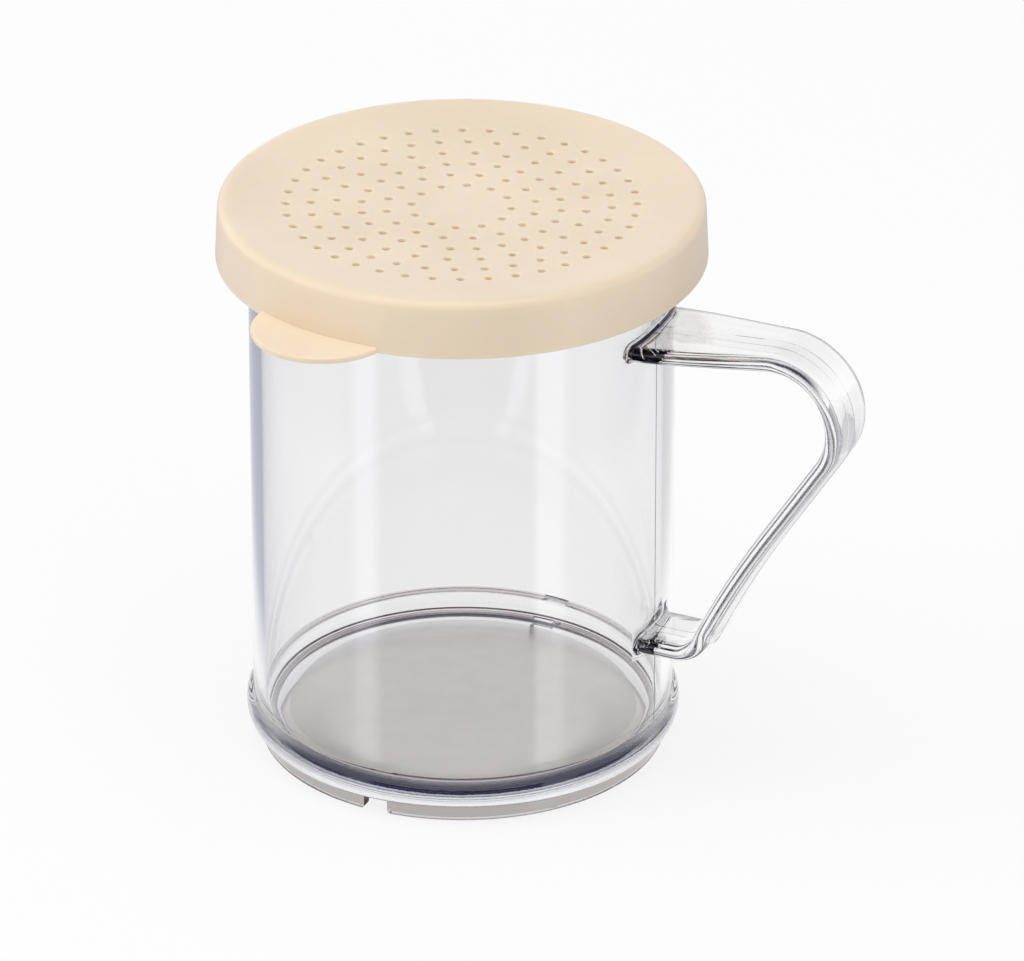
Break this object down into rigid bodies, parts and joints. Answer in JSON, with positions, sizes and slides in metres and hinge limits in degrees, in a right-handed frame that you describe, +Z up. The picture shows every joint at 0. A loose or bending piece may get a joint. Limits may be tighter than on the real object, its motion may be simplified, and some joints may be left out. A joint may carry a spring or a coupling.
{
  "type": "spice shaker with handle",
  "caption": "Clear moulded cup with a strap handle and a raised foot, closed by a snap-fit lid that has a field of small shaker holes and a thumb tab.",
  "frame": {"origin": "on the cup's axis, on the plane of the foot ring's lower edge", "axes": "+Z up along the cup's axis, +X from the axis through the middle of the handle, +Y across the handle"},
  "size_m": [0.1079, 0.0869, 0.0952],
  "materials": {
    "clear_plastic": "clear and glossy, with a frosted floor",
    "lid_plastic": "satin, warm beige"
  },
  "bodies": {
    "mug": {"mug": "clear_plastic"},
    "lid": {"lid": "lid_plastic"}
  },
  "joints": [
    {"name": "lid_lift", "type": "slide", "parent": "mug", "child": "lid", "axis": [0, 0, 1], "range_m": [0, 0.04]}
  ]
}
